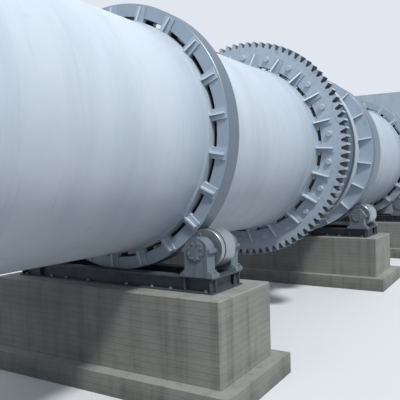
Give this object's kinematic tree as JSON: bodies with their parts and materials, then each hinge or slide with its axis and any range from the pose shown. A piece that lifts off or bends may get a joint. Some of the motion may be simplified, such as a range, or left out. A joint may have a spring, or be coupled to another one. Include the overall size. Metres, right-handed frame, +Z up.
{
  "type": "rotary kiln incinerator",
  "caption": "Sloping steel rotary kiln on support rollers, with riding rings, a girth gear and its drive, and fixed feed and discharge hoods on concrete piers.",
  "frame": {"origin": "middle of the middle pier's underside, on the ground below the kiln axis", "axes": "+X along the kiln towards the discharge hood, +Y towards the drive side, +Z up"},
  "size_m": [37.6881, 9.4461, 9.5149],
  "materials": {
    "kiln_paint": "heat-resistant silver-grey paint, satin",
    "gear_paint": "silver-grey paint on cast steel",
    "ring_steel": "grey paint with a rolled bare tread",
    "roller_steel": "forged steel with a rolled tread",
    "machine_paint": "grey machine paint",
    "bed_paint": "dark grey paint on rolled beams",
    "hood_paint": "grey paint on plate",
    "concrete": "cast concrete",
    "fire_brick": "refractory brick"
  },
  "bodies": {
    "root": {"pier_1": "concrete", "pier_2": "concrete", "pier_3": "concrete", "bed_1": "bed_paint", "bed_2": "bed_paint", "bed_3": "bed_paint", "roller_bearings_1": "machine_paint", "roller_bearings_2": "machine_paint", "roller_bearings_3": "machine_paint", "pinion_bearings": "machine_paint", "drive_bed": "bed_paint", "gearbox": "machine_paint", "drive_motor": "machine_paint", "drive_pier": "concrete", "feed_front_plate": "hood_paint", "feed_casing": "hood_paint", "feed_back_plate": "hood_paint", "feed_chute": "hood_paint", "feed_seal": "hood_paint", "feed_pier": "concrete", "discharge_seal": "hood_paint", "discharge_front_wall": "hood_paint", "discharge_side_walls": "hood_paint", "discharge_back_wall": "hood_paint", "discharge_roof": "hood_paint", "discharge_floor": "hood_paint", "gas_outlet": "hood_paint", "discharge_piers": "concrete", "burner_port": "hood_paint", "access_door": "hood_paint"},
    "kiln": {"shell_feed_section": "kiln_paint", "shell_drive_section": "kiln_paint", "shell_discharge_section": "kiln_paint", "lining": "fire_brick", "shell_flange": "kiln_paint", "stop_plate": "kiln_paint", "girth_gear": "gear_paint", "gear_chairs": "gear_paint", "gear_bosses": "gear_paint", "riding_ring_1": "ring_steel", "riding_ring_2": "ring_steel", "riding_ring_3": "ring_steel", "ring_chairs_1": "kiln_paint", "ring_chairs_2": "kiln_paint", "ring_chairs_3": "kiln_paint"},
    "roller_1_front": {"roller_1_front": "roller_steel"},
    "roller_1_back": {"roller_1_back": "roller_steel"},
    "roller_2_front": {"roller_2_front": "roller_steel"},
    "roller_2_back": {"roller_2_back": "roller_steel"},
    "roller_3_front": {"roller_3_front": "roller_steel"},
    "roller_3_back": {"roller_3_back": "roller_steel"},
    "pinion": {"pinion": "roller_steel"}
  },
  "joints": [
    {"name": "kiln_spin", "type": "hinge", "parent": "root", "child": "kiln", "pos_m": [0, 0, 5.6], "axis": [0.9997, 0, -0.0227], "continuous": true},
    {"name": "roller_1_front_spin", "type": "hinge", "parent": "root", "child": "roller_1_front", "pos_m": [-12.81624, -2.62372, 3.26645], "axis": [0.9997, 0, -0.0227], "continuous": true},
    {"name": "roller_1_back_spin", "type": "hinge", "parent": "root", "child": "roller_1_back", "pos_m": [-12.81624, 2.62372, 3.26645], "axis": [0.9997, 0, -0.0227], "continuous": true},
    {"name": "roller_2_front_spin", "type": "hinge", "parent": "root", "child": "roller_2_front", "pos_m": [-0.06081, -2.68029, 2.9204], "axis": [0.9997, 0, -0.0227], "continuous": true},
    {"name": "roller_2_back_spin", "type": "hinge", "parent": "root", "child": "roller_2_back", "pos_m": [-0.06081, 2.68029, 2.9204], "axis": [0.9997, 0, -0.0227], "continuous": true},
    {"name": "roller_3_front_spin", "type": "hinge", "parent": "root", "child": "roller_3_front", "pos_m": [8.14756, -2.65908, 2.75535], "axis": [0.9997, 0, -0.0227], "continuous": true},
    {"name": "roller_3_back_spin", "type": "hinge", "parent": "root", "child": "roller_3_back", "pos_m": [8.14756, 2.65908, 2.75535], "axis": [0.9997, 0, -0.0227], "continuous": true},
    {"name": "pinion_spin", "type": "hinge", "parent": "root", "child": "pinion", "pos_m": [-5.82911, 4.04606, 3.50151], "axis": [0.9997, 0, -0.0227], "continuous": true}
  ],
  "couplings": [
    {"joint": "roller_1_front_spin", "follows": "kiln_spin", "ratio": -7.2444},
    {"joint": "roller_1_back_spin", "follows": "kiln_spin", "ratio": -7.2444},
    {"joint": "roller_2_front_spin", "follows": "kiln_spin", "ratio": -7.4222},
    {"joint": "roller_2_back_spin", "follows": "kiln_spin", "ratio": -7.4222},
    {"joint": "roller_3_front_spin", "follows": "kiln_spin", "ratio": -7.3556},
    {"joint": "roller_3_back_spin", "follows": "kiln_spin", "ratio": -7.3556},
    {"joint": "pinion_spin", "follows": "kiln_spin", "ratio": -4}
  ]
}
